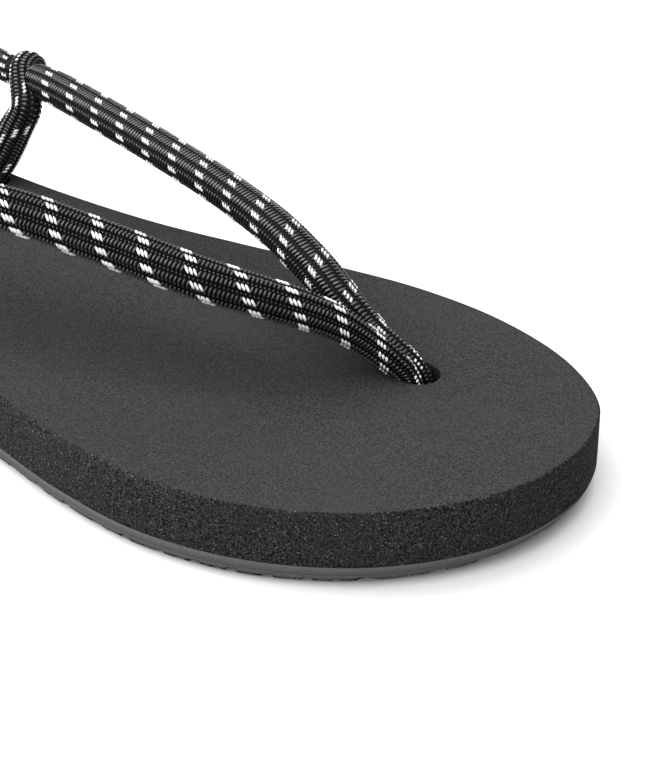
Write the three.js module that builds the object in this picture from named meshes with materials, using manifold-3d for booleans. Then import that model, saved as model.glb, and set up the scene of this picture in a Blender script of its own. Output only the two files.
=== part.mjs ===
// Rope sandal for the right foot. Millimetres, +X towards the toe, +Y to the inner side, +Z up.
// Heights are counted from the floor. Lengths along the sole are counted from the heel's end, and
// the finished sandal is moved so that the middle of its box is at x = 0, y = 0.
import * as THREE from "three";
import { mergeVertices } from "three/addons/utils/BufferGeometryUtils.js";
import Module from "manifold-3d";

// Sole: overall sizes
const LENGTH = 272;
const BALL_WIDTH = 104;
const FOOTBED_TOP = 17.1;
const FOOTBED_BOTTOM = 4.75;
const SHEET_BOTTOM = 2.3;
const TREAD_DEPTH = 1.1;
const SEAM = 0.3;

// Sole: how its underside leaves the floor, at shares of its length
const TOE_SPRING = 0.4;
const TOE_SPRING_SHARE = 0.86;
const ARCH_RISE = 1.2;
const ARCH_SHARES = { start: 0.3, end: 0.54 };

// Sole: its edge is rounded at the top, upright along the foam, and drawn in below it, between two
// shares of its height. From a share of its length on, the toe flares out and is drawn in further.
const EDGE_ROUND = 0.4;
const DRAW_SHARES = { start: 0.7, end: 1.05 };
const SIDE_DRAW_IN = 2.1;
const TOE_DRAW_IN = 2.8;
const TOE_FLARE = 0.8;
const TOE_SHARE = 0.86;

// Tread: zigzag bars across the sole
const BAR_PITCH = 8;
const BAR_WIDTH = 5.4;
const BAR_SWING = 5;
const BAR_ZIGZAG = 26;

// Cord: its thickness, the ribs of its braid, and the steps that its routes are drawn in
const CORD = 9.2;
const CORD_RIBS = 10;
const RIB_HEIGHT = 0.35;
const CORD_STEP = 6.5;
const LOOP_STEP = 4.5;

// Holes in the footbed
const TOE_HOLE = { x: 229.9, y: 16.3, radius: 4.3 };
const HOLE_CLEARANCE = 0.35;

// Outline of the footbed's top edge, heel to toe: shares of LENGTH and of BALL_WIDTH
const INNER_EDGE = [
  { along: 0, across: 0 },
  { along: 0.009, across: 0.112 },
  { along: 0.035, across: 0.212 },
  { along: 0.09, across: 0.292 },
  { along: 0.182, across: 0.333 },
  { along: 0.303, across: 0.335 },
  { along: 0.425, across: 0.329 },
  { along: 0.527, across: 0.35 },
  { along: 0.607, across: 0.392 },
  { along: 0.689, across: 0.442 },
  { along: 0.771, across: 0.479 },
  { along: 0.852, across: 0.471 },
  { along: 0.927, across: 0.405 },
  { along: 0.978, across: 0.293 },
  { along: 0.9965, across: 0.171 },
  { along: 1, across: 0.065 },
];
const OUTER_EDGE = [
  { along: 0, across: 0 },
  { along: 0.009, across: -0.112 },
  { along: 0.035, across: -0.212 },
  { along: 0.09, across: -0.29 },
  { along: 0.182, across: -0.328 },
  { along: 0.303, across: -0.339 },
  { along: 0.425, across: -0.369 },
  { along: 0.527, across: -0.417 },
  { along: 0.611, across: -0.458 },
  { along: 0.692, across: -0.507 },
  { along: 0.773, across: -0.524 },
  { along: 0.85, across: -0.478 },
  { along: 0.917, across: -0.371 },
  { along: 0.965, across: -0.225 },
  { along: 0.991, across: -0.08 },
  { along: 1, across: 0.065 },
];
const STATIONS = 42;

// Route of the main cord, from its inner end in the toe hole, round the heel and back to its outer
// end. broad and thin are shares of the cord's radius: the two ends are pressed flat side by side.
const INNER_ARM = [
  { x: 231.5, y: 18.4, z: 7, broad: 0.74, thin: 0.52 },
  { x: 230.6, y: 18.0, z: 12, broad: 0.74, thin: 0.52 },
  { x: 228.3, y: 16.9, z: 17.1, broad: 0.76, thin: 0.55 },
  { x: 224.5, y: 15.2, z: 20.6, broad: 0.8, thin: 0.6 },
  { x: 219.3, y: 14.0, z: 23.8, broad: 0.86, thin: 0.7 },
  { x: 214.8, y: 13.2, z: 27.1, broad: 0.92, thin: 0.84 },
  { x: 210.6, y: 13.4, z: 29.6, broad: 0.96, thin: 0.94 },
  { x: 204.8, y: 14.8, z: 32.5, broad: 0.98, thin: 0.98 },
  { x: 198.3, y: 16.3, z: 35, broad: 0.98, thin: 0.98 },
  { x: 190.2, y: 18.4, z: 37.2, broad: 0.97, thin: 0.97 },
  { x: 172, y: 23, z: 39.6, broad: 0.95, thin: 0.95 },
  { x: 151.2, y: 28.3, z: 40.6, broad: 0.945, thin: 0.945 },
  { x: 129.4, y: 33.9, z: 41, broad: 0.945, thin: 0.945 },
  { x: 113.2, y: 38, z: 41, broad: 0.94, thin: 0.94 },
  { x: 105.5, y: 39.8, z: 40.6, broad: 0.9, thin: 0.9 },
];
const HEEL_STRAP = [
  { x: 100, y: 41.1, z: 39.8, broad: 0.62, thin: 0.62 },
  { x: 94.5, y: 42.3, z: 39.6, broad: 0.8, thin: 0.8 },
  { x: 85, y: 44, z: 40, broad: 0.8, thin: 0.8 },
  { x: 58, y: 45.5, z: 44, broad: 0.84, thin: 0.84 },
  { x: 32, y: 38.5, z: 51, broad: 0.88, thin: 0.88 },
  { x: 14, y: 22, z: 57.5, broad: 0.88, thin: 0.88 },
  { x: 8, y: 0, z: 60, broad: 0.88, thin: 0.88 },
  { x: 14, y: -22, z: 57.5, broad: 0.88, thin: 0.88 },
  { x: 32, y: -38.5, z: 51, broad: 0.88, thin: 0.88 },
  { x: 58, y: -45.5, z: 44, broad: 0.84, thin: 0.84 },
  { x: 85, y: -44, z: 40, broad: 0.8, thin: 0.8 },
  { x: 94.5, y: -42.3, z: 39.6, broad: 0.8, thin: 0.8 },
  { x: 100, y: -41.1, z: 39.8, broad: 0.62, thin: 0.62 },
];
const OUTER_ARM = [
  { x: 106, y: -39.2, z: 41, broad: 0.98, thin: 0.98 },
  { x: 124, y: -32.2, z: 43.4, broad: 1.06, thin: 1.06 },
  { x: 149.2, y: -24.3, z: 44.2, broad: 1.065, thin: 1.065 },
  { x: 170.5, y: -17, z: 40.5, broad: 1.065, thin: 1.065 },
  { x: 192, y: -11, z: 37, broad: 1.065, thin: 1.065 },
  { x: 204.8, y: -4, z: 33.9, broad: 1.065, thin: 1.065 },
  { x: 211.5, y: 1.4, z: 31.1, broad: 1.04, thin: 1 },
  { x: 216.5, y: 5.6, z: 28.1, broad: 0.96, thin: 0.82 },
  { x: 221.4, y: 9.2, z: 24.2, broad: 0.84, thin: 0.66 },
  { x: 226, y: 11.8, z: 20.4, broad: 0.76, thin: 0.58 },
  { x: 228.4, y: 13.7, z: 17.1, broad: 0.74, thin: 0.54 },
  { x: 230.3, y: 14.6, z: 12, broad: 0.74, thin: 0.52 },
  { x: 231.3, y: 14.9, z: 7, broad: 0.74, thin: 0.52 },
];

// Side loop: up from the footbed, over the main cord and down again beside its own foot.
// out is the distance from the sole's middle line, towards the side that the loop is on.
const SIDE_LOOP = [
  { x: 100.9, out: 26.4, z: 7, broad: 0.9, thin: 0.5 },
  { x: 100.9, out: 26.6, z: 17.1, broad: 0.9, thin: 0.55 },
  { x: 103.2, out: 30, z: 23.5, broad: 0.9, thin: 0.7 },
  { x: 104.6, out: 33, z: 30, broad: 0.9, thin: 0.76 },
  { x: 106, out: 34.8, z: 35.5, broad: 0.88, thin: 0.62 },
  { x: 103.4, out: 36.4, z: 40, broad: 0.72, thin: 0.44 },
  { x: 101, out: 39, z: 43.6, broad: 0.66, thin: 0.36 },
  { x: 100.3, out: 42.4, z: 44.4, broad: 0.66, thin: 0.36 },
  { x: 100.1, out: 45.3, z: 42, broad: 0.66, thin: 0.36 },
  { x: 100.4, out: 45.6, z: 38, broad: 0.68, thin: 0.4 },
  { x: 102.2, out: 43.4, z: 33.6, broad: 0.8, thin: 0.55 },
  { x: 103, out: 38, z: 27.5, broad: 0.88, thin: 0.62 },
  { x: 100.6, out: 32.8, z: 22, broad: 0.9, thin: 0.6 },
  { x: 98.4, out: 30, z: 17.1, broad: 0.9, thin: 0.5 },
  { x: 98.4, out: 29.8, z: 7, broad: 0.9, thin: 0.5 },
];
// The line that a loop is pressed flat towards: it rises and leans outwards from between the loop's
// feet, and ends inside the main cord
const LOOP_SPINE = { x: 100.4, out: 28.2, lean: 0.57, top: 39.8 };

const RADIUS = CORD / 2;
const UP = new THREE.Vector3(0, 0, 1);
const ACROSS = new THREE.Vector3(0, 1, 0);

// Solids

const wasm = await Module();
wasm.setup();

function toSolid(geometry) {
  const bare = geometry.clone();
  bare.deleteAttribute("normal");
  bare.deleteAttribute("uv");
  const merged = mergeVertices(bare, 1e-4);
  return new wasm.Manifold(new wasm.Mesh({
    numProp: 3,
    vertProperties: new Float32Array(merged.attributes.position.array),
    triVerts: new Uint32Array(merged.index.array),
  }));
}

function toGeometry(solid) {
  const mesh = solid.getMesh();
  const position = new THREE.BufferAttribute(new Float32Array(mesh.vertProperties), 3);
  const geometry = new THREE.BufferGeometry();
  geometry.setAttribute("position", position);
  geometry.setIndex(Array.from(mesh.triVerts));
  return geometry;
}

// Fills the small pockets that pressed cords close between them, by keeping the largest skin alone
function fillPockets(geometry) {
  const index = geometry.index.array;
  const owner = Array.from({ length: geometry.attributes.position.count }, (_, i) => i);
  const find = (i) => {
    let root = i;
    while (owner[root] !== root) root = owner[root];
    owner[i] = root;
    return root;
  };
  for (let i = 0; i < index.length; i += 3) {
    owner[find(index[i])] = find(index[i + 1]);
    owner[find(index[i + 1])] = find(index[i + 2]);
  }
  const sizes = new Map();
  for (let i = 0; i < index.length; i += 3) {
    const skin = find(index[i]);
    sizes.set(skin, (sizes.get(skin) || 0) + 1);
  }
  const [largest] = [...sizes].reduce((best, entry) => (entry[1] > best[1] ? entry : best));
  const kept = [];
  for (let i = 0; i < index.length; i += 3) {
    if (find(index[i]) === largest) kept.push(index[i], index[i + 1], index[i + 2]);
  }
  geometry.setIndex(kept);
  return geometry;
}

function bodyOf(points, triangles) {
  const position = new THREE.Float32BufferAttribute(points.flatMap((p) => [p.x, p.y, p.z]), 3);
  const geometry = new THREE.BufferGeometry();
  geometry.setAttribute("position", position);
  geometry.setIndex(triangles.flat());
  return geometry;
}

// Joins rings of equally many points, each counter-clockwise when seen from the last ring's end
function sideTriangles(ringCount, ringSize) {
  const triangles = [];
  for (let ring = 0; ring < ringCount - 1; ring += 1) {
    for (let i = 0; i < ringSize; i += 1) {
      const a = ring * ringSize + i;
      const b = ring * ringSize + (i + 1) % ringSize;
      triangles.push([a, b, b + ringSize], [a, b + ringSize, a + ringSize]);
    }
  }
  return triangles;
}

// Sole

function edgePoints(edge) {
  return edge.map(({ along, across }) => new THREE.Vector3(along * LENGTH, across * BALL_WIDTH, 0));
}

// The whole top edge as one closed curve: inner side from heel to toe, then outer side back
const outline = new THREE.CatmullRomCurve3(
  [...edgePoints(INNER_EDGE), ...edgePoints(OUTER_EDGE).slice(1, -1).reverse()],
  true,
  "centripetal",
);
const outlinePoints = outline.getPoints(900);
const toeIndex = outlinePoints.reduce((best, p, i) => (p.x > outlinePoints[best].x ? i : best), 0);
const innerSide = outlinePoints.slice(0, toeIndex + 1);
const outerSide = outlinePoints.slice(toeIndex).reverse();

function crossingAt(side, x) {
  const next = side.findIndex((p, i) => i > 0 && p.x >= x);
  const after = side[next < 0 ? side.length - 1 : next];
  const before = side[(next < 0 ? side.length - 1 : next) - 1];
  const share = THREE.MathUtils.clamp((x - before.x) / (after.x - before.x || 1), 0, 1);
  return before.y + (after.y - before.y) * share;
}

// Stations bunch up at heel and toe, where the outline turns
function stationX(index) {
  return LENGTH * 0.5 * (1 - Math.cos((Math.PI * index) / STATIONS));
}

function drawIn(height, along) {
  const below = (FOOTBED_TOP - height) / FOOTBED_TOP;
  const toeShare = THREE.MathUtils.smoothstep(along, TOE_SHARE, 1);
  const depth = THREE.MathUtils.lerp(SIDE_DRAW_IN, TOE_DRAW_IN, toeShare);
  const under = depth * THREE.MathUtils.smoothstep(below, DRAW_SHARES.start, DRAW_SHARES.end);
  const flare = TOE_FLARE * toeShare * Math.min(below / DRAW_SHARES.start, 1);
  const round = EDGE_ROUND * Math.max(0, 1 - (FOOTBED_TOP - height) / EDGE_ROUND);
  return under - flare + round;
}

// One level of the sole: heel point, inner side, toe point, outer side
function soleRing(height) {
  const last = outerSide.length - 1;
  const inner = [];
  const outer = [];
  for (let i = 1; i < STATIONS; i += 1) {
    const x = stationX(i);
    inner.push(new THREE.Vector2(x, crossingAt(innerSide, x)));
    outer.unshift(new THREE.Vector2(x, crossingAt(outerSide, x)));
  }
  const heel = new THREE.Vector2(0, 0);
  const toe = new THREE.Vector2(LENGTH, outerSide[last].y);
  const ring = [heel, ...inner, toe, ...outer];
  return ring.map((p, i) => {
    const before = ring[(i + ring.length - 1) % ring.length];
    const after = ring[(i + 1) % ring.length];
    const run = after.clone().sub(before).normalize();
    const inset = drawIn(height, p.x / LENGTH);
    return new THREE.Vector3(p.x + run.y * inset, p.y - run.x * inset, height);
  }).reverse();
}

// Closes a level across the sole, from station to station, so that it can bend along its length
function acrossTriangles(start, facingUp) {
  const size = 2 * STATIONS;
  const triangles = [];
  const heel = size - 1;
  for (let i = 0; i < STATIONS; i += 1) {
    const a = (heel + i) % size;
    const b = (heel + i + 1) % size;
    const c = (heel - i + size) % size;
    const d = (heel - i - 1 + size) % size;
    if (b !== c) triangles.push([a, b, c]);
    if (b !== d) triangles.push([b, d, c]);
  }
  return triangles
    .filter(([a, b, c]) => a !== b && b !== c && a !== c)
    .map(([a, b, c]) => (facingUp ? [a, b, c] : [a, c, b]))
    .map((corners) => corners.map((corner) => start + corner));
}

function soleBlock(heights) {
  const rings = heights.map(soleRing);
  const size = 2 * STATIONS;
  return bodyOf(rings.flat(), [
    ...sideTriangles(rings.length, size),
    ...acrossTriangles(0, false),
    ...acrossTriangles((rings.length - 1) * size, true),
  ]);
}

// The rise of the sole above the floor at arch and toe, fading out towards the footbed's top
function riseAt(x, z) {
  const along = x / LENGTH;
  const toe = Math.max(0, (along - TOE_SPRING_SHARE) / (1 - TOE_SPRING_SHARE)) ** 2 * TOE_SPRING;
  const intoArch = (along - ARCH_SHARES.start) / (ARCH_SHARES.end - ARCH_SHARES.start);
  const arch = ARCH_RISE * Math.sin(Math.PI * THREE.MathUtils.clamp(intoArch, 0, 1)) ** 2;
  const fade = THREE.MathUtils.clamp((FOOTBED_TOP - z) / (FOOTBED_TOP - FOOTBED_BOTTOM), 0, 1);
  return (toe + arch) * fade;
}

function bend(geometry) {
  const position = geometry.attributes.position;
  for (let i = 0; i < position.count; i += 1) {
    position.setZ(i, position.getZ(i) + riseAt(position.getX(i), position.getZ(i)));
  }
  return geometry;
}

// One bar of the tread, running across the sole in a zigzag
function treadBar(middle) {
  const turns = Math.ceil((1.2 * BALL_WIDTH) / BAR_ZIGZAG);
  const front = [];
  const back = [];
  for (let i = -turns; i <= turns; i += 1) {
    const y = (i * BAR_ZIGZAG) / 2;
    const x = middle + (BAR_SWING / 2) * (i % 2 === 0 ? 1 : -1);
    front.push(new THREE.Vector2(x + BAR_WIDTH / 2, y));
    back.unshift(new THREE.Vector2(x - BAR_WIDTH / 2, y));
  }
  const shape = new THREE.Shape([...front, ...back]);
  return new THREE.ExtrudeGeometry(shape, { depth: TREAD_DEPTH * 1.5, bevelEnabled: false });
}

function makeOutsole() {
  const top = SHEET_BOTTOM - SEAM;
  const plate = toSolid(soleBlock([TREAD_DEPTH, top]));
  const envelope = toSolid(soleBlock([0, top]));
  let bars = null;
  for (let x = BAR_PITCH / 2; x < LENGTH + BAR_SWING; x += BAR_PITCH) {
    const bar = toSolid(treadBar(x));
    bars = bars ? bars.add(bar) : bar;
  }
  return bend(toGeometry(plate.add(bars.intersect(envelope))));
}

function makeSheet() {
  return bend(soleBlock([SHEET_BOTTOM, FOOTBED_BOTTOM - SEAM]));
}

// Cord

// Value of a column at a place between the rows of a route
function between(rows, column, at) {
  const index = Math.min(rows.length - 2, Math.floor(at));
  return THREE.MathUtils.lerp(rows[index][column], rows[index + 1][column], at - index);
}

// A closed length of cord through its rings, with the middle of its first and its last ring
function skinned(rings, first, last) {
  const sides = rings[0].length;
  const points = [...rings.flat(), first, last];
  const start = points.length - 2;
  const end = points.length - 1;
  const lastRing = (rings.length - 1) * sides;
  const triangles = sideTriangles(rings.length, sides);
  for (let i = 0; i < sides; i += 1) {
    const next = (i + 1) % sides;
    triangles.push([start, next, i], [end, lastRing + i, lastRing + next]);
  }
  return toSolid(bodyOf(points, triangles));
}

// A length of braided cord along a route, its section ribbed, and pressed thin where a row says so.
// It is made in two halves, because its ends may press into each other. grow makes it thicker, and
// longer at both ends.
function cord(rows, step, pressTowards, grow = 0) {
  const route = rows.map((r) => new THREE.Vector3(r.x, r.y, r.z));
  const curve = new THREE.CatmullRomCurve3(route, false, "centripetal");
  const spans = rows.length - 1;
  const stops = [0];
  for (let i = 0; i < spans; i += 1) {
    const count = Math.max(1, Math.round(route[i].distanceTo(route[i + 1]) / step));
    for (let k = 1; k <= count; k += 1) stops.push(i + k / count);
  }
  let normal = null;
  const sides = 2 * CORD_RIBS;
  const centres = stops.map((at) => curve.getPoint(at / spans));
  const rings = stops.map((at, stop) => {
    const centre = centres[stop];
    const tangent = curve.getTangent(at / spans);
    if (stop === 0) centre.addScaledVector(tangent, -grow);
    if (stop === stops.length - 1) centre.addScaledVector(tangent, grow);
    if (!normal) normal = Math.abs(tangent.z) > 0.9 ? ACROSS.clone() : UP.clone();
    normal = normal.clone().addScaledVector(tangent, -normal.dot(tangent)).normalize();
    const side = new THREE.Vector3().crossVectors(tangent, normal);
    const press = pressTowards(centre);
    press.addScaledVector(tangent, -press.dot(tangent)).normalize();
    const broad = between(rows, "broad", at) * RADIUS;
    const thin = between(rows, "thin", at) * RADIUS;
    return Array.from({ length: sides }, (_, i) => {
      const angle = (2 * Math.PI * i) / sides;
      const rib = i % 2 === 0 ? 0 : RIB_HEIGHT;
      const arm = normal.clone().multiplyScalar(Math.cos(angle));
      arm.addScaledVector(side, Math.sin(angle));
      const pressed = arm.dot(press) * (thin - broad);
      return centre.clone().addScaledVector(arm, broad + grow - rib).addScaledVector(press, pressed);
    });
  });
  const half = Math.floor(rings.length / 2);
  const before = skinned(rings.slice(0, half + 1), centres[0], centres[half]);
  const after = skinned(rings.slice(half), centres[half], centres[centres.length - 1]);
  return before.add(after);
}

function mainCord(grow = 0) {
  return cord([...INNER_ARM, ...HEEL_STRAP, ...OUTER_ARM], CORD_STEP, () => ACROSS.clone(), grow);
}

// side is 1 for the inner loop and -1 for the outer one
function sideLoop(side, grow = 0) {
  const rows = SIDE_LOOP.map((r) => ({ ...r, y: r.out * side }));
  const inward = (point) => {
    const z = Math.min(point.z, LOOP_SPINE.top);
    const out = LOOP_SPINE.out + Math.max(0, z - FOOTBED_TOP) * LOOP_SPINE.lean;
    return new THREE.Vector3(LOOP_SPINE.x, out * side, z).sub(point);
  };
  return cord(rows, LOOP_STEP, inward, grow);
}

function makeUpper() {
  return fillPockets(toGeometry(mainCord().add(sideLoop(1)).add(sideLoop(-1))));
}

function makeFootbed() {
  const block = toSolid(bend(soleBlock([FOOTBED_BOTTOM, FOOTBED_TOP - EDGE_ROUND, FOOTBED_TOP])));
  const toeHole = new THREE.CylinderGeometry(TOE_HOLE.radius, TOE_HOLE.radius, 2 * FOOTBED_TOP, 24);
  toeHole.rotateX(Math.PI / 2);
  toeHole.translate(TOE_HOLE.x, TOE_HOLE.y, FOOTBED_TOP / 2);
  const cutters = mainCord(HOLE_CLEARANCE)
    .add(sideLoop(1, HOLE_CLEARANCE))
    .add(sideLoop(-1, HOLE_CLEARANCE))
    .add(toSolid(toeHole));
  return toGeometry(block.subtract(cutters));
}

// Assembly

const foam = new THREE.MeshStandardMaterial({ color: 0x46464a, roughness: 0.9, metalness: 0 });
const greyRubber = new THREE.MeshStandardMaterial({ color: 0x69696b, roughness: 0.75, metalness: 0 });
const blackRubber = new THREE.MeshStandardMaterial({ color: 0x1c1c1e, roughness: 0.8, metalness: 0 });
const braid = new THREE.MeshStandardMaterial({ color: 0x26262a, roughness: 0.7, metalness: 0 });

function piece(name, geometry, material) {
  const mesh = new THREE.Mesh(geometry, material);
  mesh.name = name;
  return mesh;
}

const group = new THREE.Group();
group.add(piece("footbed", makeFootbed(), foam));
group.add(piece("midsole_sheet", makeSheet(), greyRubber));
group.add(piece("outsole", makeOutsole(), blackRubber));
group.add(piece("upper", makeUpper(), braid));

const middle = new THREE.Box3().setFromObject(group).getCenter(new THREE.Vector3());
group.position.set(-middle.x, -middle.y, 0);

export default group;
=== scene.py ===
# Rope sandal for the right foot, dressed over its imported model. Metres, in the model's own frame:
# +X from heel to toe, +Y towards the inner side, +Z up from the floor.
import math

import bmesh
import bpy
import numpy as np
from mathutils import Matrix, Vector


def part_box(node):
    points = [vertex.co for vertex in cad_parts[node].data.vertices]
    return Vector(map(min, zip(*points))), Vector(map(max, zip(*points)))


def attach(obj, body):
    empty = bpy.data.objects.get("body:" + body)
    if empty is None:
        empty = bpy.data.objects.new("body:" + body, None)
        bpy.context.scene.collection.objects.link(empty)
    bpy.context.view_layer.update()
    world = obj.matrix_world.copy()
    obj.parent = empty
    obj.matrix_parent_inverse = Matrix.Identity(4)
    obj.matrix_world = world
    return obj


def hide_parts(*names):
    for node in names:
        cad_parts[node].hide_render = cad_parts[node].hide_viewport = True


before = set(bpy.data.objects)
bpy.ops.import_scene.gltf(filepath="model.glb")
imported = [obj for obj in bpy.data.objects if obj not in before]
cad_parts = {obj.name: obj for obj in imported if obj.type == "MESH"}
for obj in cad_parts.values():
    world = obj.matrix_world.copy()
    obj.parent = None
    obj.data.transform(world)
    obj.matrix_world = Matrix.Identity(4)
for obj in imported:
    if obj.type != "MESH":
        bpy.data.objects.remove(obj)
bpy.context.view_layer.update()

MM = 0.001

# Outsole
# A thin rubber sheet with zigzag bars under it. It is cut to shape through its tread, so its lower
# edge is ragged and shows the black tread, and above it the grey of the sheet.

LENGTH = 272 * MM
BALL_WIDTH = 104 * MM
FOOTBED_TOP = 17.1 * MM
FOOTBED_BOTTOM = 4.75 * MM
SHEET_BOTTOM = 2.25 * MM
TREAD_DEPTH = 1.1 * MM
BAR_PITCH = 8 * MM
BAR_WIDTH = 5.4 * MM
BAR_SWING = 5 * MM
BAR_ZIGZAG = 26 * MM
# Width of a bar's sloping side, as a share of the pitch
BAR_SLOPE = 0.08
TORN_EDGE = 0.7 * MM
TOE_SPRING = 0.4 * MM
TOE_SHARE = 0.86
ARCH_RISE = 1.2 * MM
ARCH_START = 0.3
ARCH_SPAN = 0.24
SIDE_DRAW_IN = 2.1 * MM
TOE_DRAW_IN = 2.8 * MM
TOE_FLARE = 0.8 * MM
# The draw-in starts and ends at these shares of the sole's height, counted from the top
DRAW_START = 0.7
DRAW_END = 1.05
EDGE_STEPS = 40
TORN_SEED = 5

# Outline of the footbed's top edge, heel to toe, as shares of LENGTH and BALL_WIDTH
INNER_EDGE = [
    (0, 0), (0.009, 0.112), (0.035, 0.212), (0.09, 0.292), (0.182, 0.333), (0.303, 0.335),
    (0.425, 0.329), (0.527, 0.35), (0.607, 0.392), (0.689, 0.442), (0.771, 0.479), (0.852, 0.471),
    (0.927, 0.405), (0.978, 0.293), (0.9965, 0.171), (1, 0.065),
]
OUTER_EDGE = [
    (0, 0), (0.009, -0.112), (0.035, -0.212), (0.09, -0.29), (0.182, -0.328), (0.303, -0.339),
    (0.425, -0.369), (0.527, -0.417), (0.611, -0.458), (0.692, -0.507), (0.773, -0.524),
    (0.85, -0.478), (0.917, -0.371), (0.965, -0.225), (0.991, -0.08), (1, 0.065),
]


def smooth_line(points, closed, per_span):
    """A centripetal curve through the points, per_span steps to a span."""
    p = np.array(points, float)
    count = len(p)
    if not closed:
        p = np.vstack([2 * p[0] - p[1], p, 2 * p[-1] - p[-2]])
    t = (np.arange(per_span) / per_span)[:, None]
    rows = []
    for i in range(count if closed else count - 1):
        if closed:
            a, b, c, d = (p[(i + k) % count] for k in (-1, 0, 1, 2))
        else:
            a, b, c, d = p[i:i + 4]
        before, here, after = (np.linalg.norm(v) ** 0.5 for v in (b - a, c - b, d - c))
        leave = ((b - a) / before - (c - a) / (before + here) + (c - b) / here) * here
        reach = ((c - b) / here - (d - b) / (here + after) + (d - c) / after) * here
        rows.append((2 * t**3 - 3 * t**2 + 1) * b + (t**3 - 2 * t**2 + t) * leave
                    + (3 * t**2 - 2 * t**3) * c + (t**3 - t**2) * reach)
    if not closed:
        rows.append(p[-2:-1])
    return np.vstack(rows)


def smoothstep(value, low, high):
    share = np.clip((value - low) / (high - low), 0, 1)
    return share * share * (3 - 2 * share)


edge = np.array(INNER_EDGE + OUTER_EDGE[-2:0:-1]) * (LENGTH, BALL_WIDTH)
edge = smooth_line(edge, True, EDGE_STEPS)
toe_index = int(edge[:, 0].argmax())
inner_side = edge[:toe_index + 1]
outer_side = np.vstack([edge[toe_index:], edge[:1]])[::-1]
footbed_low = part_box("footbed")[0]
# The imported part's own place for the heel's end and for the sole's middle line
HEEL = Vector((footbed_low.x, footbed_low.y - edge[:, 1].min(), 0))


def drawn_in(height, along):
    """How far the edge is drawn in at a height. The foam flares a little downwards at the toe."""
    below = (FOOTBED_TOP - height) / FOOTBED_TOP
    toe = smoothstep(along, TOE_SHARE, 1)
    depth = SIDE_DRAW_IN + (TOE_DRAW_IN - SIDE_DRAW_IN) * toe
    flare = TOE_FLARE * toe * np.minimum(below / DRAW_START, 1)
    return depth * smoothstep(below, DRAW_START, DRAW_END) - flare


def rise(x, z):
    """How far the sole's underside leaves the floor at arch and toe, fading out upwards."""
    along = x / LENGTH
    toe = np.clip((along - TOE_SHARE) / (1 - TOE_SHARE), 0, None) ** 2 * TOE_SPRING
    arch = ARCH_RISE * np.sin(math.pi * np.clip((along - ARCH_START) / ARCH_SPAN, 0, 1)) ** 2
    return (toe + arch) * np.clip((FOOTBED_TOP - z) / (FOOTBED_TOP - FOOTBED_BOTTOM), 0, 1)


def sole_slab(name, sides, stations, across, lower=None):
    """A closed slab of the sole. sides is a list of (height, how far it is pulled in further), from
    below. Its faces have so many stations from heel to toe and so many cells across. lower gives
    the height of its underside at x and y, where that isn't flat."""
    x = LENGTH * 0.5 * (1 - np.cos(math.pi * np.arange(1, stations) / stations))
    inner = np.column_stack([x, np.interp(x, inner_side[:, 0], inner_side[:, 1])])
    outer = np.column_stack([x, np.interp(x, outer_side[:, 0], outer_side[:, 1])])
    toe = (LENGTH, inner_side[-1, 1])
    plan = np.vstack([[(0, 0)], outer, [toe], inner[::-1]])
    run = np.roll(plan, -1, 0) - np.roll(plan, 1, 0)
    run /= np.linalg.norm(run, axis=1)[:, None]
    inward = np.column_stack([-run[:, 1], run[:, 0]])
    size = len(plan)
    torn = TORN_EDGE * np.random.default_rng(TORN_SEED).random(size) ** 2
    points, faces = [], []
    for height, further in sides:
        inset = drawn_in(height, plan[:, 0] / LENGTH) + further
        ring = plan + inward * inset[:, None]
        z = np.full(size, height)
        if lower is not None:
            z = np.maximum(z, lower(ring[:, 0], ring[:, 1]) + torn)
        points.append(np.column_stack([ring, z]))
    for level in range(len(sides) - 1):
        for i in range(size):
            a, b = level * size + i, level * size + (i + 1) % size
            faces.append((a, b, b + size, a + size))
    total = len(sides) * size
    for level, height_at in ((0, lower), (len(sides) - 1, None)):
        ring = points[level]
        rows = [[level * size]]
        for i in range(1, stations):
            left, right = i, size - i
            share = (np.arange(1, across) / across)[:, None]
            inside = ring[left] * (1 - share) + ring[right] * share
            if height_at is not None:
                inside[:, 2] = height_at(inside[:, 0], inside[:, 1])
            points.append(inside)
            middle = range(total, total + across - 1)
            rows.append([level * size + left, *middle, level * size + right])
            total += across - 1
        rows.append([level * size + stations])
        for low, high in zip(rows, rows[1:]):
            if len(low) == 1:
                cells = [(low[0], b, a) for a, b in zip(high, high[1:])]
            elif len(high) == 1:
                cells = [(a, b, high[0]) for a, b in zip(low, low[1:])]
            else:
                cells = [(a, b, d, c) for a, b, c, d in zip(low, low[1:], high, high[1:])]
                cells = [cell[::-1] for cell in cells]
            faces += cells if level else [cell[::-1] for cell in cells]
    points = np.vstack(points)
    points[:, 2] += rise(points[:, 0], points[:, 2])
    return mesh_object(name, points + HEEL, faces)


def mesh_object(name, points, faces):
    mesh = bpy.data.meshes.new(name)
    mesh.from_pydata([tuple(p) for p in points], [], [tuple(f) for f in faces])
    mesh.validate()
    bm = bmesh.new()
    bm.from_mesh(mesh)
    bmesh.ops.recalc_face_normals(bm, faces=bm.faces)
    bm.to_mesh(mesh)
    bm.free()
    mesh.shade_smooth()
    made = bpy.data.objects.new(name, mesh)
    bpy.context.scene.collection.objects.link(made)
    return made


def tread_height(x, y):
    """0 on a bar, the tread's depth in a groove, with the bars running across in a zigzag."""
    swing = BAR_SWING * (2 * np.abs(((y / BAR_ZIGZAG) % 1) - 0.5) - 0.5)
    place = ((x - swing + BAR_PITCH / 2) % BAR_PITCH) / BAR_PITCH - 0.5
    half = BAR_WIDTH / BAR_PITCH / 2
    return TREAD_DEPTH * smoothstep(np.abs(place), half, half + BAR_SLOPE)


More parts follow.
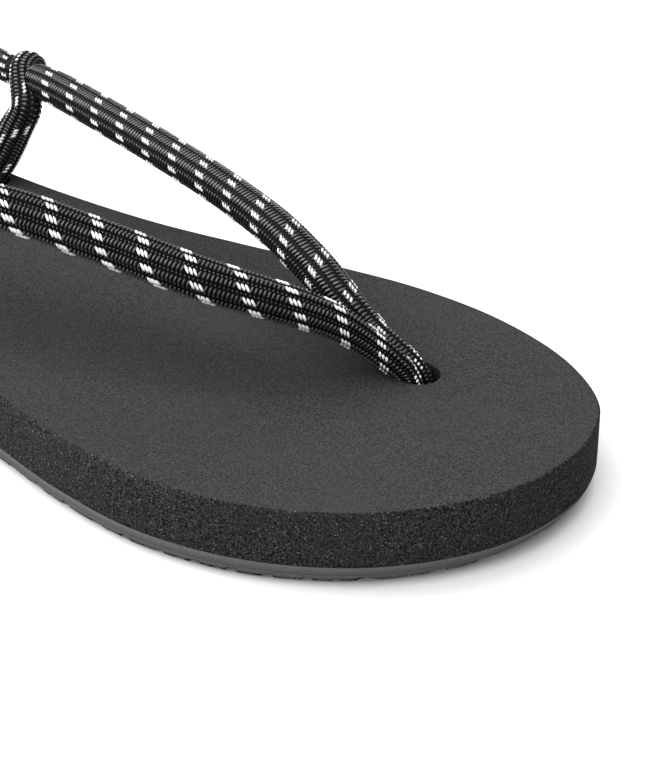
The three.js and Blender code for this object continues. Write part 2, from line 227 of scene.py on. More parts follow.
class Nodes:
    """Short ways to fill a node tree."""

    def __init__(self, tree):
        self.tree = tree

    def add(self, kind, links=(), **values):
        node = self.tree.nodes.new(kind)
        for key, value in values.items():
            setattr(node, key, value)
        for socket, source in dict(links).items():
            target = node.inputs[socket]
            if isinstance(source, bpy.types.NodeSocket):
                self.tree.links.new(source, target)
            else:
                target.default_value = source
        return node

    def blend(self, share, low, high):
        mix = self.add("ShaderNodeMix", data_type="RGBA")
        for index, source in ((0, share), (6, low), (7, high)):
            if isinstance(source, bpy.types.NodeSocket):
                self.tree.links.new(source, mix.inputs[index])
            else:
                mix.inputs[index].default_value = source
        return mix.outputs[2]

    def ramp(self, source, stops):
        made = self.add("ShaderNodeValToRGB", {"Fac": source})
        elements = made.color_ramp.elements
        while len(elements) < len(stops):
            elements.new(0.5)
        for element, (place, value) in zip(elements, stops):
            element.position = place
            element.color = (value, value, value, 1)
        return made.outputs["Color"]


def grey(value):
    return (value, value, value, 1)


def new_material(name):
    material = bpy.data.materials.new(name)
    material.use_nodes = True
    material.node_tree.nodes.clear()
    nodes = Nodes(material.node_tree)
    shader = nodes.add("ShaderNodeBsdfPrincipled")
    nodes.add("ShaderNodeOutputMaterial", {"Surface": shader.outputs["BSDF"]})
    return material, nodes, shader


# A speck fades from full at its core to nothing at its rim, both as shares of a cell
SPECK_CORE = 0.12
SPECK_RIM = 0.34
CLOUDS_PER_METRE = 45.0


def grain_group():
    """Fine cells and rare light specks, as foam and cut rubber show."""
    tree = bpy.data.node_groups.new("Fine grain", "ShaderNodeTree")
    face = tree.interface
    for name, value in (("Cell size", 0.5), ("Speck share", 0.3)):
        socket = face.new_socket(name=name, in_out="INPUT", socket_type="NodeSocketFloat")
        socket.default_value = value
    for name in ("Cells", "Specks", "Cloud"):
        face.new_socket(name=name, in_out="OUTPUT", socket_type="NodeSocketFloat")
    nodes = Nodes(tree)
    given = nodes.add("NodeGroupInput")
    place = nodes.add("ShaderNodeTexCoord").outputs["Object"]
    per_metre = nodes.add(
        "ShaderNodeMath", {0: 1 / MM, 1: given.outputs["Cell size"]}, operation="DIVIDE")
    cells = nodes.add("ShaderNodeTexNoise", {
        "Vector": place, "Scale": per_metre.outputs[0], "Detail": 4.0, "Roughness": 0.65})
    dots = nodes.add("ShaderNodeTexVoronoi", {"Vector": place, "Scale": per_metre.outputs[0]})
    chosen = nodes.add("ShaderNodeSeparateColor", {"Color": dots.outputs["Color"]})
    rare = nodes.add(
        "ShaderNodeMath", {0: chosen.outputs[0], 1: given.outputs["Speck share"]},
        operation="LESS_THAN")
    near = nodes.add("ShaderNodeMapRange", {
        "Value": dots.outputs["Distance"], "From Min": SPECK_CORE, "From Max": SPECK_RIM,
        "To Min": 1.0, "To Max": 0.0})
    specks = nodes.add(
        "ShaderNodeMath", {0: rare.outputs[0], 1: near.outputs[0]}, operation="MULTIPLY")
    cloud = nodes.add("ShaderNodeTexNoise", {
        "Vector": place, "Scale": CLOUDS_PER_METRE, "Detail": 3.0})
    nodes.add("NodeGroupOutput", {
        "Cells": cells.outputs["Fac"], "Specks": specks.outputs[0], "Cloud": cloud.outputs["Fac"]})
    return tree


fine_grain = grain_group()
# Tone of the cloudy patches, as a share of the dark and light greys added up
CLOUD_TONE = 0.55
FOAM_SHINE = 0.12
CELL_DEPTH = 0.2 * MM


def cut_foam(name, dark, light, speck, rough, cell, bump, speck_share=0.06):
    """A matt foam or rubber: two near greys in cells, rare specks, a little cloudiness."""
    material, nodes, shader = new_material(name)
    grain = nodes.add("ShaderNodeGroup", node_tree=fine_grain)
    grain.inputs["Cell size"].default_value = cell
    grain.inputs["Speck share"].default_value = speck_share
    shade = nodes.ramp(grain.outputs["Cells"], [(0.38, 0), (0.62, 1)])
    body = nodes.blend(shade, grey(dark), grey(light))
    cloudy = nodes.ramp(grain.outputs["Cloud"], [(0.3, 0), (0.7, 0.5)])
    body = nodes.blend(cloudy, body, grey((dark + light) * CLOUD_TONE))
    body = nodes.blend(grain.outputs["Specks"], body, grey(speck))
    nodes.tree.links.new(body, shader.inputs["Base Color"])
    shader.inputs["Roughness"].default_value = rough
    shader.inputs["Specular IOR Level"].default_value = FOAM_SHINE
    relief = nodes.add("ShaderNodeBump", {
        "Height": grain.outputs["Cells"], "Strength": bump, "Distance": CELL_DEPTH})
    nodes.tree.links.new(relief.outputs["Normal"], shader.inputs["Normal"])
    return material


# Black tread shows below a line that wanders up and down by about this much
LINE_WANDER = 1.6 * MM
LINE_LOW = 1.45 * MM
LINE_HIGH = 1.6 * MM
WANDERS_PER_METRE = 420.0
BLACK_TREAD = 0.006


def tread_material():
    """Grey sheet above, black tread below, with a ragged line between them."""
    material = cut_foam(
        "tread rubber", dark=0.105, light=0.14, speck=0.19, rough=0.8, cell=0.5, bump=0.4)
    nodes = Nodes(material.node_tree)
    colour = material.node_tree.nodes["Principled BSDF"].inputs["Base Color"]
    place = nodes.add("ShaderNodeTexCoord").outputs["Object"]
    ragged = nodes.add("ShaderNodeTexNoise", {
        "Vector": place, "Scale": WANDERS_PER_METRE, "Detail": 5.0})
    height = nodes.add("ShaderNodeSeparateXYZ", {"Vector": place}).outputs["Z"]
    shift = nodes.add(
        "ShaderNodeMath", {0: ragged.outputs["Fac"], 1: LINE_WANDER, 2: height},
        operation="MULTIPLY_ADD")
    black = nodes.add("ShaderNodeMapRange", {
        "Value": shift.outputs[0], "From Min": LINE_LOW, "From Max": LINE_HIGH,
        "To Min": 1.0, "To Max": 0.0})
    body = colour.links[0].from_socket
    nodes.tree.links.new(nodes.blend(black.outputs[0], body, grey(BLACK_TREAD)), colour)
    return material


OUTSOLE_SIDES = [
    (0, 0.5 * MM), (0.35 * MM, 0.1 * MM), (0.8 * MM, 0), (1.3 * MM, 0), (1.6 * MM, 0),
    (2.12 * MM, 0), (2.18 * MM, 0.08 * MM),
]

outsole = sole_slab(
    "outsole_rubber", OUTSOLE_SIDES, stations=520, across=44, lower=tread_height)
outsole.data.materials.append(tread_material())
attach(outsole, "root")
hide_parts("outsole")

# Midsole sheet
# A lighter grey sheet of rubber foam, glued between footbed and outsole and cut with them, so its
# edge is a crisp band all round.

SHEET_SIDES = [
    (SHEET_BOTTOM, 0.08 * MM), (SHEET_BOTTOM + 0.06 * MM, 0), (3.4 * MM, -0.02 * MM),
    (FOOTBED_BOTTOM - 0.08 * MM, 0), (FOOTBED_BOTTOM - 0.02 * MM, 0.06 * MM),
]

sheet = sole_slab("midsole_sheet_grey", SHEET_SIDES, stations=240, across=6)
sheet.data.materials.append(cut_foam(
    "grey sheet", dark=0.1, light=0.13, speck=0.19, rough=0.75, cell=0.4, bump=0.3))
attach(sheet, "root")
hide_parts("midsole_sheet")

# Footbed
# A slab of black closed-cell foam, one foam on its face and its cut side. The face is given a
# lighter colour, painted light, and the side a darker one, painted shade. One round hole takes the
# two ends of the main cord, and one hole on each side takes both feet of a loop.

TOE_HOLE = (229.4 * MM, 16.2 * MM)
TOE_HOLE_HALF = (5.3 * MM, 5 * MM)
LOOP_HOLE = (99.7 * MM, 28.1 * MM)
LOOP_HOLE_HALF = (5.2 * MM, 4.9 * MM)
EDGE_ROUND = 0.45 * MM
HOLE_STEPS = 48

FOOTBED_SIDES = [
    (FOOTBED_BOTTOM, 0.05 * MM), (FOOTBED_BOTTOM + 0.1 * MM, 0), (7.5 * MM, 0), (10.5 * MM, 0),
    (13.5 * MM, 0), (FOOTBED_TOP - EDGE_ROUND, 0), (FOOTBED_TOP - 0.25 * MM, 0.06 * MM),
    (FOOTBED_TOP - 0.09 * MM, 0.2 * MM), (FOOTBED_TOP, 0.45 * MM),
]


def hole_cutter(middle, half):
    """A closed plug with a small flare at the footbed's face."""
    levels = [
        (-2 * MM, 1), (FOOTBED_TOP - 0.5 * MM, 1), (FOOTBED_TOP - 0.15 * MM, 1.01),
        (FOOTBED_TOP + 0.05 * MM, 1.05), (FOOTBED_TOP + 2 * MM, 1.06),
    ]
    sides = HOLE_STEPS
    points, faces = [], []
    for height, grow in levels:
        for i in range(sides):
            turn = 2 * math.pi * i / sides
            points.append((middle[0] + half[0] * grow * math.cos(turn),
                           middle[1] + half[1] * grow * math.sin(turn), height))
    for level in range(len(levels) - 1):
        for i in range(sides):
            a, b = level * sides + i, level * sides + (i + 1) % sides
            faces.append((a, b, b + sides, a + sides))
    faces.append(tuple(range(sides))[::-1])
    faces.append(tuple(range((len(levels) - 1) * sides, len(levels) * sides)))
    return mesh_object("cutter", np.array(points) + HEEL, faces)


def apply_modifiers(piece):
    """Makes the piece's modifiers part of its mesh."""
    bpy.context.view_layer.update()
    evaluated = piece.evaluated_get(bpy.context.evaluated_depsgraph_get())
    made = bpy.data.meshes.new_from_object(evaluated)
    piece.modifiers.clear()
    piece.data = made


footbed = sole_slab("footbed_foam", FOOTBED_SIDES, stations=260, across=10)
for middle, half in (
        (TOE_HOLE, TOE_HOLE_HALF),
        (LOOP_HOLE, LOOP_HOLE_HALF),
        ((LOOP_HOLE[0], -LOOP_HOLE[1]), LOOP_HOLE_HALF)):
    cutter = hole_cutter(middle, half)
    cut = footbed.modifiers.new("hole", "BOOLEAN")
    cut.operation = "DIFFERENCE"
    cut.solver = "EXACT"
    cut.object = cutter
    apply_modifiers(footbed)
    bpy.data.objects.remove(cutter)
# Two colours of the one foam: the face's lighter colour is painted light, the side's darker colour
# is painted shade; the side also has stronger grain and more specks
face_foam_painted_light = cut_foam(
    "foam face, painted light", dark=0.024, light=0.07, speck=0.12, rough=0.85, cell=0.42, bump=0.35,
    speck_share=0.05)
side_foam_painted_shade = cut_foam(
    "foam side, painted shade", dark=0.001, light=0.068, speck=0.26, rough=0.9, cell=0.42, bump=0.65,
    speck_share=0.12)
footbed.data.materials.clear()
footbed.data.materials.append(side_foam_painted_shade)
footbed.data.materials.append(face_foam_painted_light)
# Faces that look straight up get the painted-light face colour, all others the painted-shade side
# colour
for polygon in footbed.data.polygons:
    on_top = polygon.normal.z > 0.99 and polygon.center.z > FOOTBED_TOP - 0.1 * MM
    polygon.material_index = int(on_top)
    polygon.use_smooth = not on_top
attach(footbed, "root")
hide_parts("footbed")

# Main cord
# One black braided cord of ten ribs, with a light tracer yarn that crosses each rib in three short
# strokes. Its two ends are pressed side by side into the toe hole, its arms run back over the foot,
# through the side loops and on round the heel as one strap.

RADIUS = 4.6 * MM
RIBS = 10
STITCH_PITCH = 0.875 * MM
STITCHES_ROUND = 12
TRACER_STITCHES = 3
RIB_ROUNDNESS = 0.7
ROUTE_STEPS = 30

# Route of the main cord: x, y, z in millimetres, and the half width and half thickness as shares of
# the cord's radius
INNER_ARM = [
    (231.5, 18.4, 7, 0.74, 0.52), (230.6, 18.0, 12, 0.74, 0.52), (228.3, 16.9, 17.1, 0.76, 0.55),
    (224.5, 15.2, 20.6, 0.8, 0.6), (219.3, 14.0, 23.8, 0.86, 0.7), (214.8, 13.2, 27.1, 0.92, 0.84),
    (210.6, 13.4, 29.6, 0.96, 0.94), (204.8, 14.8, 32.5, 0.98, 0.98), (198.3, 16.3, 35, 0.98, 0.98),
    (190.2, 18.4, 37.2, 0.97, 0.97), (172, 23, 39.6, 0.95, 0.95), (151.2, 28.3, 40.6, 0.945, 0.945),
    (129.4, 33.9, 41, 0.945, 0.945), (113.2, 38, 41, 0.94, 0.94), (105.5, 39.8, 40.6, 0.9, 0.9),
]
HEEL_STRAP = [
    (100, 41.1, 39.8, 0.62, 0.62), (94.5, 42.3, 39.6, 0.8, 0.8), (85, 44, 40, 0.8, 0.8),
    (58, 45.5, 44, 0.84, 0.84), (32, 38.5, 51, 0.88, 0.88), (14, 22, 57.5, 0.88, 0.88),
    (8, 0, 60, 0.88, 0.88), (14, -22, 57.5, 0.88, 0.88), (32, -38.5, 51, 0.88, 0.88),
    (58, -45.5, 44, 0.84, 0.84), (85, -44, 40, 0.8, 0.8), (94.5, -42.3, 39.6, 0.8, 0.8),
    (100, -41.1, 39.8, 0.62, 0.62),
]
OUTER_ARM = [
    (106, -39.2, 41, 0.96, 0.96), (124, -32.2, 43.4, 1.02, 1.02), (149.2, -24.3, 44.2, 1.02, 1.02),
    (170.5, -17, 40.5, 1.02, 1.02), (192, -11, 37, 1, 1), (204.8, -4, 33.9, 0.95, 0.95),
    (211.5, 1.4, 31.1, 0.92, 0.88), (216.5, 5.6, 28.1, 0.88, 0.76), (221.4, 9.2, 24.2, 0.8, 0.64),
    (226, 11.8, 20.4, 0.76, 0.58), (228.4, 13.7, 17.1, 0.74, 0.54), (230.3, 14.6, 12, 0.74, 0.52),
    (231.3, 14.9, 7, 0.74, 0.52),
]


class Cord:
    """A braided cord along a route: its line, and the shape of its section at each place."""

    STEP = 0.5 * MM
    CORE_STEP = 1.0 * MM
    CORE_SIDES = 60
    # Rise per length from which a cord starts off as steep
    STEEP = 0.9

    def __init__(self, rows, press_towards):
        rows = np.array(rows, float)
        line = smooth_line(rows[:, :3] * MM, False, ROUTE_STEPS)
        spans = np.linspace(0, len(rows) - 1, len(line))
        run = np.concatenate([[0], np.cumsum(np.linalg.norm(np.diff(line, axis=0), axis=1))])
        self.length = run[-1]
        self.at = np.linspace(0, self.length, int(self.length / self.STEP))
        self.centre = self.spread(run, line)
        row_spans = np.arange(len(rows))
        self.broad = np.interp(self.at, run, np.interp(spans, row_spans, rows[:, 3])) * RADIUS
        self.thin = np.interp(self.at, run, np.interp(spans, row_spans, rows[:, 4])) * RADIUS
        self.row_at = np.interp(row_spans, spans, run)
        along = np.gradient(self.centre, axis=0)
        self.along = along / np.linalg.norm(along, axis=1)[:, None]
        steep = abs(self.along[0, 2]) > self.STEEP
        normal = np.array((0, 1.0, 0) if steep else (0, 0, 1.0))
        normals = []
        for direction in self.along:
            normal = normal - direction * (normal @ direction)
            normal = normal / np.linalg.norm(normal)
            normals.append(normal)
        self.normal = np.array(normals)
        self.side = np.cross(self.along, self.normal)
        press = press_towards(self.centre)
        press = press - self.along * (press * self.along).sum(1)[:, None]
        self.press = press / np.linalg.norm(press, axis=1)[:, None]

    def spread(self, run, values):
        return np.column_stack([np.interp(self.at, run, column) for column in values.T])

    def pick(self, values, at):
        if values.ndim == 1:
            return np.interp(at, self.at, values)
        return np.column_stack([np.interp(at, self.at, column) for column in values.T])

    def surface(self, at, angle, sunk):
        """Points on the cord at a length and an angle, sunk below its outer size."""
        centre = self.pick(self.centre, at)
        normal, side = self.pick(self.normal, at), self.pick(self.side, at)
        press = self.pick(self.press, at)
        broad, thin = self.pick(self.broad, at), self.pick(self.thin, at)
        arm = normal * np.cos(angle)[:, None] + side * np.sin(angle)[:, None]
        towards = (arm * press).sum(1)[:, None]
        return centre + arm * (broad - sunk)[:, None] + press * towards * (thin - broad)[:, None]

    def core(self, name, start, end, depth):
        """The ribbed body of the cord between two lengths, closed at both ends. depth is how far it
        lies below the cord's outer size at a rib, and how much deeper between ribs."""
        around = self.CORE_SIDES
        count = max(2, int((end - start) / self.CORE_STEP))
        stops = np.linspace(start, end, count + 1)
        angle = 2 * math.pi * np.arange(around) / around
        ribbed = np.abs(np.cos(angle * RIBS / 2)) ** RIB_ROUNDNESS
        sunk = depth[0] + depth[1] * (1 - ribbed)
        rings = [self.surface(np.full(around, at), angle, sunk) for at in stops]
        points = np.vstack([*rings, self.pick(self.centre, [start]), self.pick(self.centre, [end])])
        faces = []
        for ring in range(count):
            for i in range(around):
                a, b = ring * around + i, ring * around + (i + 1) % around
                faces.append((a, b, b + around, a + around))
        last = count * around
        for i in range(around):
            following = (i + 1) % around
            faces.append((len(points) - 2, following, i))
            faces.append((len(points) - 1, last + i, last + following))
        return mesh_object(name, points + HEEL, faces)

    def seats(self, start, end, offset):
        """Length, angle and rib of each stitch between two lengths. An offset of a half puts them
        between the ribs."""
        count = np.arange(int(start / STITCH_PITCH) - 2, int(end / STITCH_PITCH) + 2)
        rib = np.arange(RIBS)[:, None]
        at = (count + rib * STITCHES_ROUND / RIBS) * STITCH_PITCH
        rib = np.broadcast_to(rib, at.shape)
        kept = (at > start) & (at < end)
        at, rib = at[kept], rib[kept]
        return at, 2 * math.pi * (rib + offset) / RIBS, rib

    def lower_rib(self, start, end):
        """The rib that faces down halfway between two lengths."""
        middle = np.full(RIBS, (start + end) / 2)
        height = self.surface(middle, 2 * math.pi * np.arange(RIBS) / RIBS, np.zeros(RIBS))[:, 2]
        return int(height.argmin())


# Depth and step at which the cord's surface is felt for its slope
SLOPE_DEPTH = 0.4 * MM
SLOPE_STEP = 0.02


def turned(cord, at, angle, lean):
    """Turns that lay a stitch on the cord, its length leaning away from the cord's own line."""
    here = cord.surface(at, angle, np.full(len(at), SLOPE_DEPTH))
    beside = cord.surface(at, angle + SLOPE_STEP, np.full(len(at), SLOPE_DEPTH))
    around = beside - here
    along = cord.pick(cord.along, at)
    around -= along * (around * along).sum(1)[:, None]
    around /= np.linalg.norm(around, axis=1)[:, None]
    outward = np.cross(along, around)
    flip = np.sign((outward * (here - cord.pick(cord.centre, at))).sum(1))[:, None]
    outward *= flip
    first = along * math.cos(lean) + around * math.sin(lean)
    second = np.cross(outward, first)
    return np.column_stack([
        np.arctan2(second[:, 2], outward[:, 2]),
        -np.arcsin(np.clip(first[:, 2], -1, 1)),
        np.arctan2(first[:, 1], first[:, 0]),
    ])


BEAD_SIDES = 6
BEAD_RINGS = 5


def stitch_tree():
    """Lays one rounded stitch on each point, turned as the point says."""
    tree = bpy.data.node_groups.new("Lay stitches", "GeometryNodeTree")
    face = tree.interface
    face.new_socket(name="Geometry", in_out="INPUT", socket_type="NodeSocketGeometry")
    for name in ("Length", "Width", "Height"):
        face.new_socket(name=name, in_out="INPUT", socket_type="NodeSocketFloat")
    face.new_socket(name="Yarn", in_out="INPUT", socket_type="NodeSocketMaterial")
    face.new_socket(name="Geometry", in_out="OUTPUT", socket_type="NodeSocketGeometry")
    nodes = Nodes(tree)
    given = nodes.add("NodeGroupInput")
    bead = nodes.add("GeometryNodeMeshUVSphere", {
        "Segments": BEAD_SIDES, "Rings": BEAD_RINGS, "Radius": 0.5})
    size = nodes.add("ShaderNodeCombineXYZ", {
        "X": given.outputs["Length"], "Y": given.outputs["Width"], "Z": given.outputs["Height"]})
    stitch = nodes.add("GeometryNodeTransform", {
        "Geometry": bead.outputs["Mesh"], "Scale": size.outputs[0]})
    turn = nodes.add("GeometryNodeInputNamedAttribute", {"Name": "turn"}, data_type="FLOAT_VECTOR")
    scale = nodes.add("GeometryNodeInputNamedAttribute", {"Name": "size"}, data_type="FLOAT_VECTOR")
    laid = nodes.add("GeometryNodeInstanceOnPoints", {
        "Points": given.outputs["Geometry"], "Instance": stitch.outputs[0],
        "Rotation": turn.outputs["Attribute"], "Scale": scale.outputs["Attribute"]})
    real = nodes.add("GeometryNodeRealizeInstances", {"Geometry": laid.outputs[0]})
    soft = nodes.add("GeometryNodeSetShadeSmooth", {"Geometry": real.outputs[0]})
    coloured = nodes.add("GeometryNodeSetMaterial", {
        "Geometry": soft.outputs[0], "Material": given.outputs["Yarn"]})
    nodes.add("NodeGroupOutput", {"Geometry": coloured.outputs[0]})
    return tree


lay_stitches = stitch_tree()
WOBBLE_SEED = 11
wobble = np.random.default_rng(WOBBLE_SEED)
# Stitches differ in size between these shares
UNEVEN = (0.93, 1.07)
# How fast a stitch shortens where the ribs draw together, and the least it comes down to
SHORTENING = 1.2
LEAST_LENGTH = 0.4
LEAST_HEIGHT = 0.5


def stitches(cord, at, angle, sunk, lean, size, yarn):
    """A mesh of stitches on the cord: size is length, width and height of each."""
    points = cord.surface(at, angle, np.full(len(at), sunk))
    mesh = bpy.data.meshes.new("seats")
    mesh.from_pydata([tuple(p) for p in points + np.array(HEEL)], [], [])
    turns = turned(cord, at, angle, lean)
    # A stitch is as long as the ribs are far apart there, and shorter where the surface bends more
    half_rib = math.pi / RIBS
    all_sunk = np.full(len(at), sunk)
    before = points - cord.surface(at, angle - half_rib, all_sunk)
    after = cord.surface(at, angle + half_rib, all_sunk) - points
    share = np.linalg.norm(before + after, axis=1) / (2 * RADIUS * math.sin(half_rib))
    bend = (before * after).sum(1) / np.linalg.norm(before, axis=1) / np.linalg.norm(after, axis=1)
    share *= np.clip(bend / math.cos(half_rib), LEAST_LENGTH, 1)
    sizes = np.column_stack([
        share ** SHORTENING, np.ones(len(at)), np.clip(share, LEAST_HEIGHT, 1)])
    sizes *= wobble.uniform(*UNEVEN, sizes.shape)
    for name, values in (("turn", turns), ("size", sizes)):
        layer = mesh.attributes.new(name, "FLOAT_VECTOR", "POINT")
        layer.data.foreach_set("vector", values.astype(np.float32).ravel())
    seats = bpy.data.objects.new("seats", mesh)
    bpy.context.scene.collection.objects.link(seats)
    modifier = seats.modifiers.new("stitches", "NODES")
    modifier.node_group = lay_stitches
    given = dict(zip(("Length", "Width", "Height", "Yarn"), (*size, yarn)))
    for item in lay_stitches.interface.items_tree:
        if item.in_out == "INPUT" and item.name in given:
            modifier[item.identifier] = given[item.name]
    apply_modifiers(seats)
    return seats


def gathered(name, parts):
    """One piece from several meshes, each with its own material."""
    bm = bmesh.new()
    whole = bpy.data.meshes.new(name)
    for index, part in enumerate(parts):
        before = len(bm.faces)
        bm.from_mesh(part.data)
        bm.faces.ensure_lookup_table()
        for i in range(before, len(bm.faces)):
            bm.faces[i].material_index = index
            bm.faces[i].smooth = True
        whole.materials.append(next(m for m in part.data.materials if m))
        bpy.data.objects.remove(part)
    bm.to_mesh(whole)
    bm.free()
    for layer in ("turn", "size"):
        if layer in whole.attributes:
            whole.attributes.remove(whole.attributes[layer])
    made = bpy.data.objects.new(name, whole)
    bpy.context.scene.collection.objects.link(made)
    return made


FIBRES_PER_METRE = 2600.0
FIBRE_DEPTH = 0.08 * MM
PATCHES_PER_METRE = 160.0
SHEEN_ROUGHNESS = 0.4
# Tone of dark and light fibres and of worn patches, as shares of the yarn's colour
DARK_FIBRE = 0.7
LIGHT_FIBRE = 1.25
WORN_FIBRE = 1.5


def yarn_material(name, colour, rough, shine, sheen, bump):
    """Yarn of one colour, with fine fibres of light and dark and some worn patches."""
    material, nodes, shader = new_material(name)
    place = nodes.add("ShaderNodeTexCoord").outputs["Object"]
    fibre = nodes.add("ShaderNodeTexNoise", {
        "Vector": place, "Scale": FIBRES_PER_METRE, "Detail": 3.0, "Roughness": 0.7})
    patch = nodes.add("ShaderNodeTexNoise", {
        "Vector": place, "Scale": PATCHES_PER_METRE, "Detail": 2.0})
    tone = nodes.ramp(fibre.outputs["Fac"], [(0.3, 0), (0.75, 1)])
    mixed = nodes.blend(tone, grey(colour * DARK_FIBRE), grey(colour * LIGHT_FIBRE))
    worn = nodes.ramp(patch.outputs["Fac"], [(0.35, 0), (0.75, 0.5)])
    mixed = nodes.blend(worn, mixed, grey(colour * WORN_FIBRE))
    nodes.tree.links.new(mixed, shader.inputs["Base Color"])
    shader.inputs["Roughness"].default_value = rough
    shader.inputs["Specular IOR Level"].default_value = shine
    shader.inputs["Sheen Weight"].default_value = sheen
    shader.inputs["Sheen Roughness"].default_value = SHEEN_ROUGHNESS
    relief = nodes.add("ShaderNodeBump", {
        "Height": fibre.outputs["Fac"], "Strength": bump, "Distance": FIBRE_DEPTH})
    nodes.tree.links.new(relief.outputs["Normal"], shader.inputs["Normal"])
    return material


# A braid's core depths, the length, width and height of its stitches, and its yarns
TIGHT_BRAID = {
    "depth": (0.3 * MM, 0.45 * MM),
    "rib stitch": (2.7 * MM, 0.84 * MM, 0.65 * MM),
    "tracer stitch": (1.85 * MM, 0.7 * MM, 0.85 * MM),
    "core": yarn_material("cord core", colour=0.013, rough=0.7, shine=0.2, sheen=0.0, bump=0.4),
    "black": yarn_material("black yarn", colour=0.016, rough=0.22, shine=1.0, sheen=0.1, bump=0.15),
}
# The open braid is the outer arm, the same cord and yarn as the tight braid. Its black yarn is given
# a lighter colour than the tight braid's: painted light
OPEN_BRAID_PAINTED_LIGHT_AND_SHADE = {
    "depth": (0.42 * MM, 0.6 * MM),
    "rib stitch": (2.0 * MM, 0.6 * MM, 1.0 * MM),
    "tracer stitch": (2.25 * MM, 0.7 * MM, 0.85 * MM),
    # Its core, seen in the grooves between the ribs, is given a darker colour than the tight braid's
    # core: painted shade
    "core": yarn_material(
        "cord core, open braid, painted shade", colour=0.009, rough=0.8, shine=0.12, sheen=0.0, bump=0.4),
    "black": yarn_material(
        "black yarn, open braid, painted light", colour=0.042, rough=0.32, shine=1.0, sheen=0.1, bump=0.15),
}
SMALL_STITCH = (0.75 * MM, 0.5 * MM, 0.6 * MM)
tracer_yarn = yarn_material(
    "tracer yarn", colour=0.56, rough=0.4, shine=0.4, sheen=0.1, bump=0.4)

# How far each kind of stitch is sunk below the cord's outer size
RIB_SUNK = 0.36 * MM
TRACER_SUNK = 0.26 * MM
SMALL_SUNK = 0.72 * MM
RIB_LEAN = math.radians(80)
TRACER_LEAN = math.radians(48)
# How far the tracer's rows step on from one rib to the next
ARM_SHIFT = 1.6 * MM
STRAP_SHIFT = 1.05 * MM
LOOP_SHIFT = 2.5 * MM


def braided(name, cord, start, end, braid, shift, phase=0.0, row_stitches=12):
    """The cord between two lengths, with its rib stitches, its tracer strokes and the small yarn
    between the ribs, which a tight braid hides. The tracer shows as rows of strokes that wind round
    the cord: phase moves the rows along, and row_stitches are the stitches from one to the next."""
    tight = braid is TIGHT_BRAID
    # For the open braid the core's dark colour is painted shade in the grooves
    core = cord.core(name + "_core", start, end, braid["depth"])
    core.data.materials.append(braid["core"])
    at, angle, rib = cord.seats(start, end, 0)
    from_below = (rib - cord.lower_rib(start, end)) % RIBS
    row = (at - start - from_below * shift - phase) / STITCH_PITCH
    light = row % row_stitches < TRACER_STITCHES
    # The black yarn of a tight braid runs on below its tracer
    black = ~light | tight
    ribs = stitches(
        cord, at[black], angle[black], RIB_SUNK, -RIB_LEAN, braid["rib stitch"], braid["black"])
    tracer = stitches(
        cord, at[light], angle[light], TRACER_SUNK, TRACER_LEAN, braid["tracer stitch"], tracer_yarn)
    parts = [core, ribs, tracer]
    if not tight:
        at, angle, _ = cord.seats(start, end, 0.5)
        parts.append(stitches(cord, at, angle, SMALL_SUNK, RIB_LEAN, SMALL_STITCH, braid["black"]))
    piece = gathered(name, parts)
    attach(piece, "root")
    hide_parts("upper")


def sideways(centre):
    """The main cord is pressed thin across the foot."""
    return np.tile((0, 1.0, 0), (len(centre), 1))


main_cord = Cord(INNER_ARM + HEEL_STRAP + OUTER_ARM, sideways)
under_inner_loop = main_cord.row_at[len(INNER_ARM)]
under_outer_loop = main_cord.row_at[len(INNER_ARM) + len(HEEL_STRAP) - 1]
braided("inner_arm", main_cord, 0, under_inner_loop, TIGHT_BRAID, STRAP_SHIFT, -3.5 * MM, 11)
braided("heel_strap", main_cord, under_inner_loop, under_outer_loop, TIGHT_BRAID, STRAP_SHIFT)
# The outer arm's yarn colours hold painted light on its black stitches and painted shade in its core
braided("outer_arm", main_cord, under_outer_loop, main_cord.length, OPEN_BRAID_PAINTED_LIGHT_AND_SHADE, ARM_SHIFT, 1.5 * MM)

# Side loops
# Two short lengths of the same cord. Each comes up from its hole, lies over the main cord, where it
# is pulled flat, and goes down again into the same hole.

SIDE_LOOP = [
    (100.9, 26.4, 7, 0.9, 0.5), (100.9, 26.6, 17.1, 0.9, 0.55), (103.2, 30, 23.5, 0.9, 0.7),
    (104.6, 33, 30, 0.9, 0.76), (106, 34.8, 35.5, 0.88, 0.62), (103.4, 36.4, 40, 0.72, 0.44),
    (101, 39, 43.6, 0.66, 0.36), (100.3, 42.4, 44.4, 0.66, 0.36), (100.1, 45.3, 42, 0.66, 0.36),
    (100.3, 45.4, 38, 0.68, 0.4), (100.2, 42.8, 33.6, 0.8, 0.55), (99.8, 37.4, 27.5, 0.88, 0.62),
    (98.9, 32.6, 22, 0.9, 0.6), (98.2, 30, 17.1, 0.9, 0.5), (98.4, 29.8, 7, 0.9, 0.5),
]
LOOP_SPINE = {"x": 100.4 * MM, "out": 28.2 * MM, "lean": 0.57, "top": 39.8 * MM}


def side_loop(name, side):
    """side is 1 for the inner loop and -1 for the outer one."""

    def inward(centre):
        """From the cord towards a leaning line that the loop goes round."""
        z = np.minimum(centre[:, 2], LOOP_SPINE["top"])
        out = LOOP_SPINE["out"] + np.maximum(z - FOOTBED_TOP, 0) * LOOP_SPINE["lean"]
        return np.column_stack([np.full(len(z), LOOP_SPINE["x"]), out * side, z]) - centre

    cord = Cord([(x, out * side, z, broad, thin) for x, out, z, broad, thin in SIDE_LOOP], inward)
    braided(name, cord, 0, cord.length, TIGHT_BRAID, LOOP_SHIFT)


side_loop("inner_loop", 1)
side_loop("outer_loop", -1)

# Picture
# A pale floor under four soft lights, and a camera low on the outer side of the toe.

CAMERA_PLACE = Vector((437.9, -354.9, 255.6)) * MM + HEEL
CAMERA_RIGHT = Vector((0.826, 0.5596, 0.0683))
CAMERA_UP = Vector((-0.3293, 0.3806, 0.8641))
CAMERA_LENS = 106.3
FLOOR_HALF = 4
FLOOR_TONE = 0.66
FLOOR_ROUGHNESS = 0.9
FLOOR_SHINE = 0.1
ROOM_LIGHT = 0.4

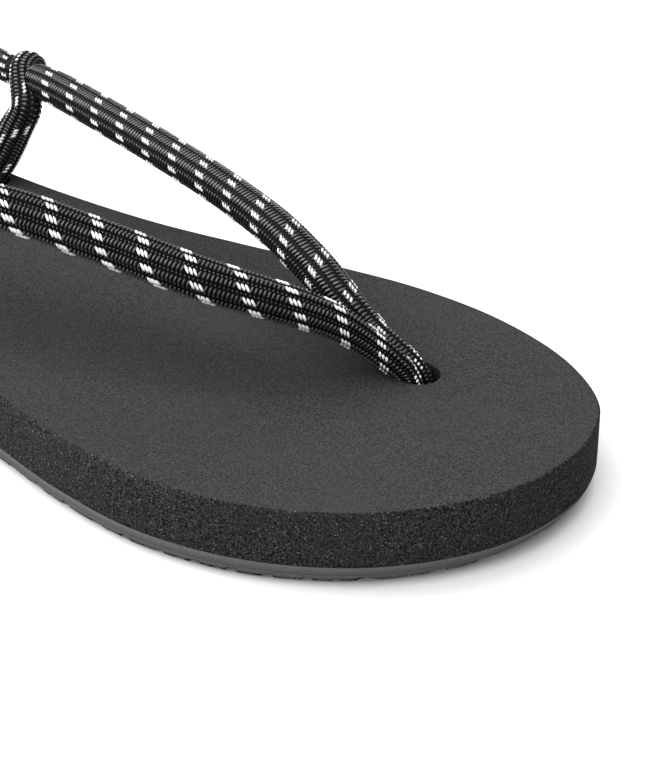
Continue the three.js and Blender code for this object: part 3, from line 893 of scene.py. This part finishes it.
floor = mesh_object("floor", [
    (-FLOOR_HALF, -FLOOR_HALF, 0), (FLOOR_HALF, -FLOOR_HALF, 0),
    (FLOOR_HALF, FLOOR_HALF, 0), (-FLOOR_HALF, FLOOR_HALF, 0),
], [(0, 1, 2, 3)])
floor_material, _, floor_shader = new_material("pale floor")
floor_shader.inputs["Base Color"].default_value = grey(FLOOR_TONE)
floor_shader.inputs["Roughness"].default_value = FLOOR_ROUGHNESS
floor_shader.inputs["Specular IOR Level"].default_value = FLOOR_SHINE
floor.data.materials.append(floor_material)

world = bpy.data.worlds.new("soft room")
world.use_nodes = True
background = world.node_tree.nodes["Background"]
background.inputs["Color"].default_value = grey(1)
background.inputs["Strength"].default_value = ROOM_LIGHT
bpy.context.scene.world = world


def soft_light(name, place, size, power):
    """A rectangular light in watts that shines on the origin."""
    lamp = bpy.data.lights.new(name, "AREA")
    lamp.shape = "RECTANGLE"
    lamp.size, lamp.size_y = size
    lamp.energy = power
    made = bpy.data.objects.new(name, lamp)
    made.location = place
    made.rotation_euler = (-Vector(place)).to_track_quat("-Z", "Y").to_euler()
    bpy.context.scene.collection.objects.link(made)


soft_light("overhead", place=(-0.35, -0.35, 1.5), size=(2.4, 2.4), power=40)
soft_light("side", place=(-1.6, -0.6, 0.8), size=(1.2, 1.2), power=20)
soft_light("behind", place=(-0.3, 1.7, 0.9), size=(1.2, 0.8), power=8)
soft_light("front", place=(0.8, -1.4, 0.6), size=(1.4, 0.8), power=10)

camera = bpy.data.objects.new("camera", bpy.data.cameras.new("camera"))
right, up = CAMERA_RIGHT.normalized(), CAMERA_UP.normalized()
back = right.cross(up).normalized()
camera.matrix_world = Matrix((
    (right.x, up.x, back.x, CAMERA_PLACE.x),
    (right.y, up.y, back.y, CAMERA_PLACE.y),
    (right.z, up.z, back.z, CAMERA_PLACE.z),
    (0, 0, 0, 1),
))
camera.data.lens = CAMERA_LENS
camera.data.sensor_width = 36
camera.data.clip_start = 0.01
bpy.context.scene.collection.objects.link(camera)
bpy.context.scene.camera = camera
bpy.context.scene.view_settings.view_transform = "Standard"
bpy.context.scene.view_settings.look = "High Contrast"
